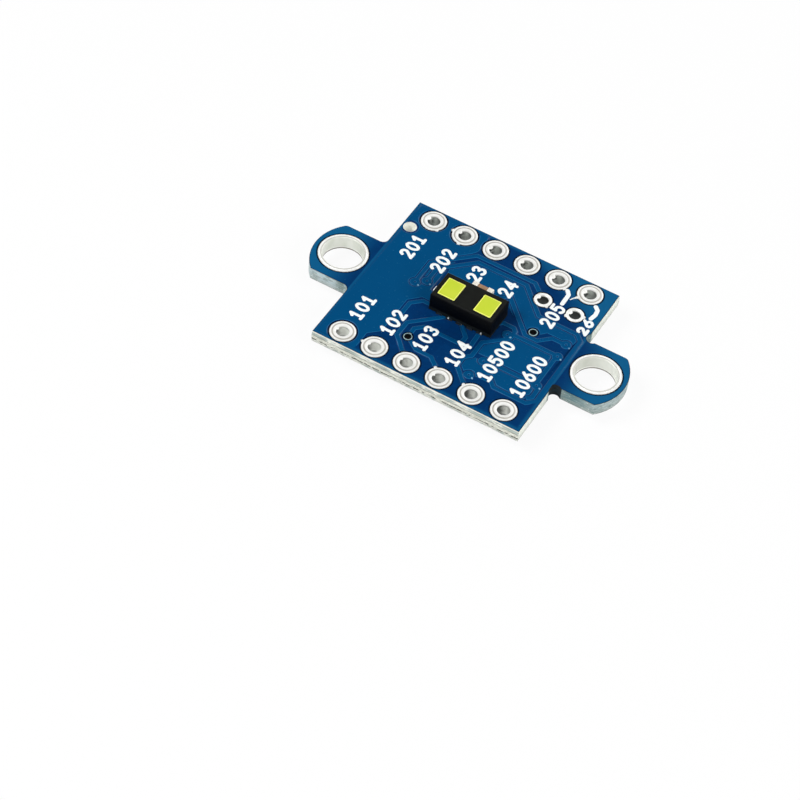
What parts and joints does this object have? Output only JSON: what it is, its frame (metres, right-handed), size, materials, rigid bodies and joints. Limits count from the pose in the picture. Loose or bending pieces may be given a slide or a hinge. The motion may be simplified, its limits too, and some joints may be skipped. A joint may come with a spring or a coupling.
{
  "type": "time-of-flight sensor module",
  "caption": "Small distance-sensor board with a windowed sensor package, two rows of plated pin holes and a rounded mounting ear at each end.",
  "frame": {"origin": "midway between the two ear holes, on the underside of the bare laminate", "axes": "+X along the pin rows from the left ear to the right, +Y from the near row to the far row, +Z out of the sensor's windows"},
  "size_m": [0.0246, 0.0152, 0.0038],
  "materials": {
    "laminate": "routed and snapped glass-epoxy edge, pale grey-green",
    "copper": "bare copper foil and plating",
    "solder_mask": "glossy dark blue lacquer",
    "legend_ink": "white printing ink",
    "tinned_copper": "bright tin over copper plating",
    "sensor_housing": "black moulded cap",
    "sensor_window": "yellow-green filter with a satin face",
    "sensor_substrate": "dark package substrate",
    "silicon": "grey silicon",
    "capacitor_ceramic": "brown ceramic",
    "resistor_ceramic": "dark resistor body",
    "terminal_metal": "tinned end cap",
    "moulding": "black epoxy moulding",
    "lead_metal": "tinned lead frame",
    "solder": "bright solder"
  },
  "bodies": {
    "root": {"board_laminate": "laminate", "top_copper": "copper", "bottom_copper": "copper", "top_solder_mask": "solder_mask", "bottom_solder_mask": "solder_mask", "top_legend": "legend_ink", "barrel_near_1": "tinned_copper", "barrel_far_1": "tinned_copper", "barrel_near_2": "tinned_copper", "barrel_far_2": "tinned_copper", "barrel_near_3": "tinned_copper", "barrel_far_3": "tinned_copper", "barrel_near_4": "tinned_copper", "barrel_far_4": "tinned_copper", "barrel_near_5": "tinned_copper", "barrel_far_5": "tinned_copper", "barrel_near_6": "tinned_copper", "barrel_far_6": "tinned_copper", "barrel_left_ear": "tinned_copper", "barrel_right_ear": "tinned_copper", "barrel_test_1": "tinned_copper", "barrel_test_2": "tinned_copper", "open_via_barrels": "tinned_copper", "tented_via_barrels": "copper", "sensor_substrate": "sensor_substrate", "sensor_cap": "sensor_housing", "emitter_window": "sensor_window", "receiver_window": "sensor_window", "emitter_die": "silicon", "receiver_die": "silicon", "sensor_solder": "solder", "sensor_capacitor_body": "capacitor_ceramic", "sensor_capacitor_ends": "terminal_metal", "sensor_capacitor_solder": "solder", "controller_body": "moulding", "controller_leads": "lead_metal", "controller_solder": "solder", "regulator_body": "moulding", "regulator_leads": "lead_metal", "regulator_solder": "solder", "capacitor_1_body": "capacitor_ceramic", "capacitor_1_ends": "terminal_metal", "capacitor_2_body": "capacitor_ceramic", "capacitor_2_ends": "terminal_metal", "capacitor_3_body": "capacitor_ceramic", "capacitor_3_ends": "terminal_metal", "resistor_1_body": "resistor_ceramic", "resistor_1_ends": "terminal_metal", "resistor_2_body": "resistor_ceramic", "resistor_2_ends": "terminal_metal", "resistor_3_body": "resistor_ceramic", "resistor_3_ends": "terminal_metal", "resistor_4_body": "resistor_ceramic", "resistor_4_ends": "terminal_metal", "chip_solder": "solder"}
  },
  "joints": []
}
